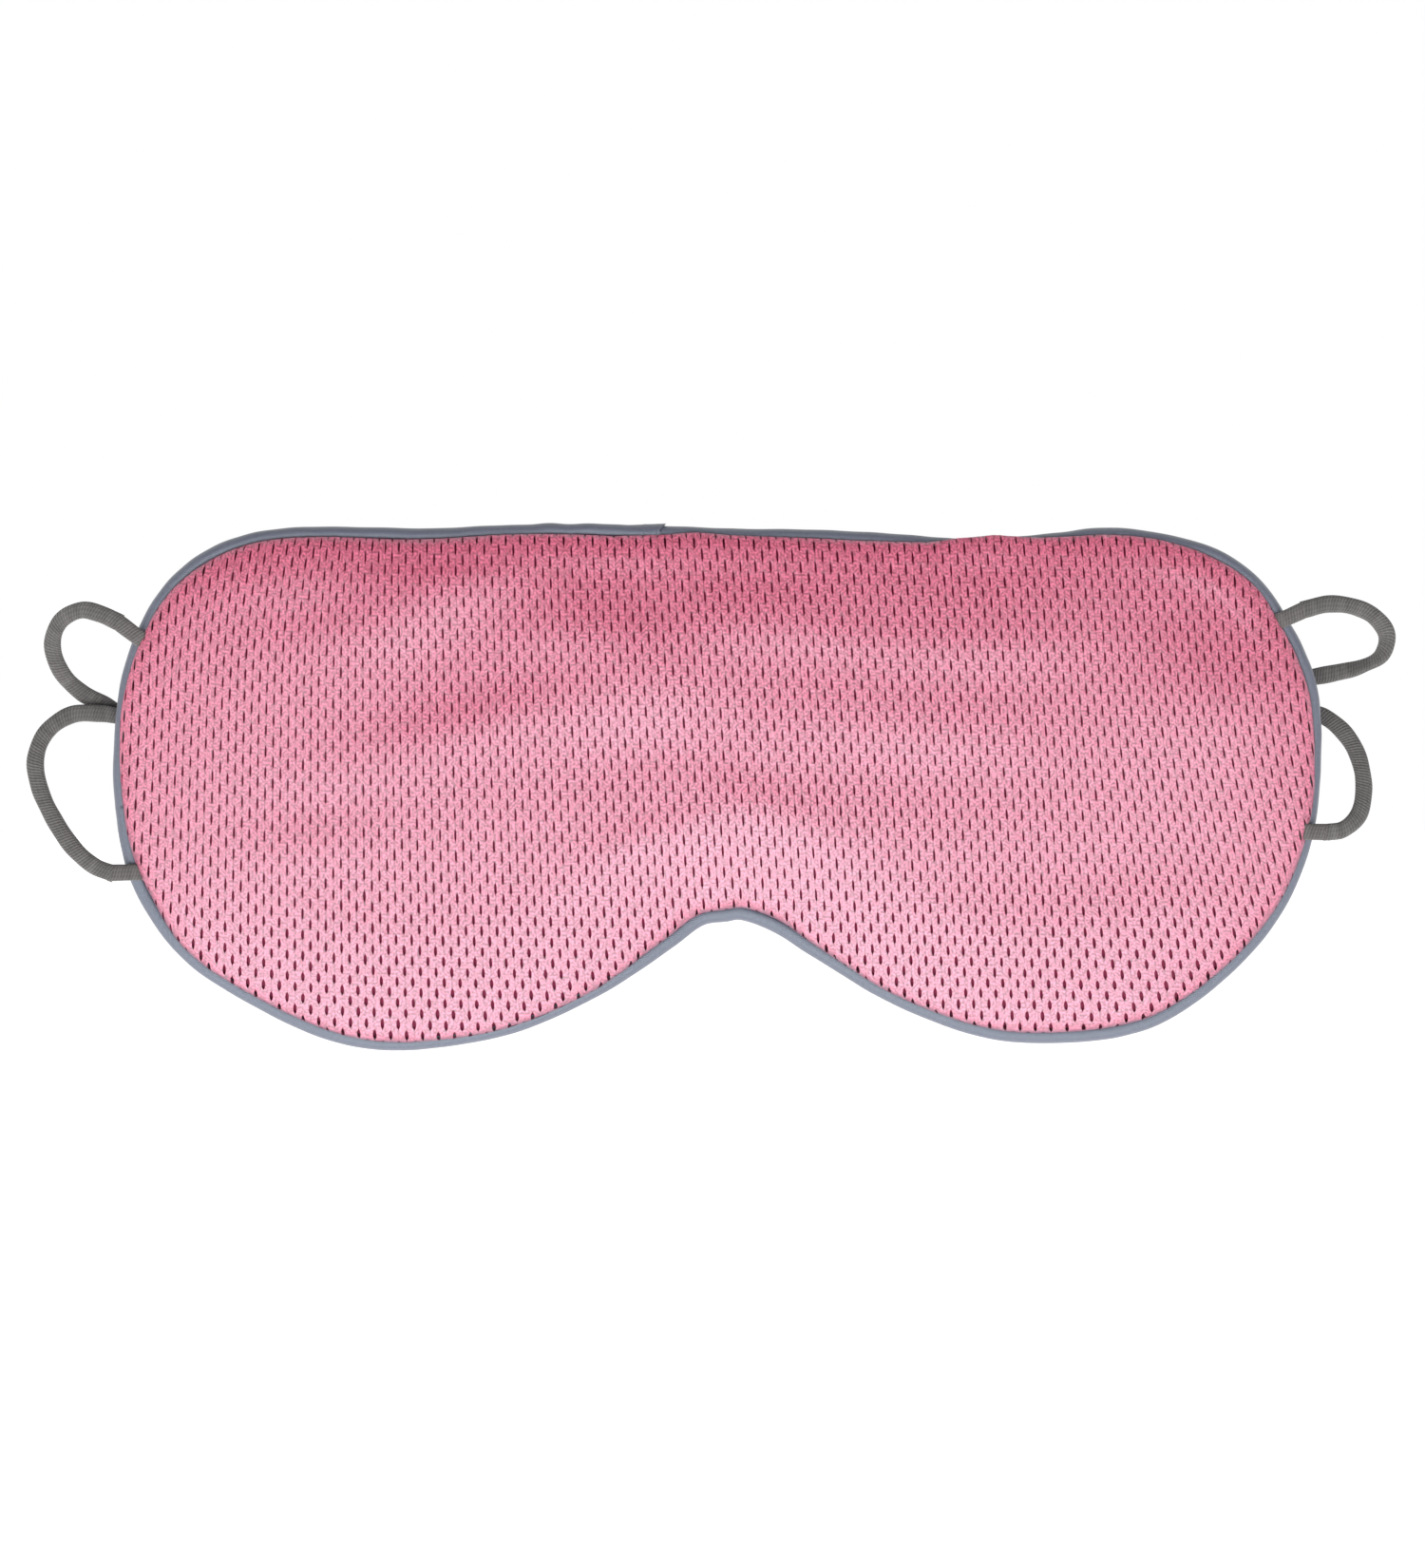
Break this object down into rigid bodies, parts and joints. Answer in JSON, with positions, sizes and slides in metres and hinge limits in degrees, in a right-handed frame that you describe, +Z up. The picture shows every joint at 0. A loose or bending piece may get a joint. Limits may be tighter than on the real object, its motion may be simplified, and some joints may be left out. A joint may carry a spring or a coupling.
{
  "type": "padded eye mask",
  "caption": "Soft padded eye mask with an eyelet mesh front, a taped edge, a nose notch and an elastic ear loop sewn into each side.",
  "frame": {"origin": "the middle of the mask's outline, on the flat of the back lining that rests on the face", "axes": "+Z up towards the forehead, +X towards the wearer's left, and the front of the mask faces -Y"},
  "size_m": [0.2331, 0.0132, 0.0902],
  "materials": {
    "mesh_cover": "matte",
    "blackout_cloth": "matte",
    "foam": "matte",
    "lining_cloth": "matte",
    "binding_tape": "matte",
    "sewing_thread": "satin",
    "elastic": "matte"
  },
  "bodies": {
    "left_half": {"front_cover_left": "mesh_cover", "blackout_layer_left": "blackout_cloth", "padding_left": "foam", "back_lining_left": "lining_cloth", "edge_binding_left": "binding_tape", "seam_thread_left": "sewing_thread", "binding_lap_end": "binding_tape", "left_upper_tail": "elastic", "left_lower_tail": "elastic"},
    "right_half": {"front_cover_right": "mesh_cover", "blackout_layer_right": "blackout_cloth", "padding_right": "foam", "back_lining_right": "lining_cloth", "edge_binding_right": "binding_tape", "seam_thread_right": "sewing_thread", "right_upper_tail": "elastic", "right_lower_tail": "elastic"},
    "left_loop": {"left_ear_loop": "elastic"},
    "right_loop": {"right_ear_loop": "elastic"}
  },
  "joints": [
    {"name": "nose_fold", "type": "hinge", "parent": "left_half", "child": "right_half", "pos_m": [0.0015, 0, 0], "axis": [0, 0, 1], "range_deg": [0, 150], "stiffness_Nm_per_rad": 0.02},
    {"name": "left_loop_swing", "type": "hinge", "parent": "left_half", "child": "left_loop", "pos_m": [-0.10245, -0.00575, 0.0068], "axis": [0.0258, 0, 0.9997], "range_deg": [0, 70], "stiffness_Nm_per_rad": 0.0005},
    {"name": "right_loop_swing", "type": "hinge", "parent": "right_half", "child": "right_loop", "pos_m": [0.1014, -0.00575, 0.0113], "axis": [0.0948, 0, -0.9955], "range_deg": [0, 70], "stiffness_Nm_per_rad": 0.0005}
  ]
}
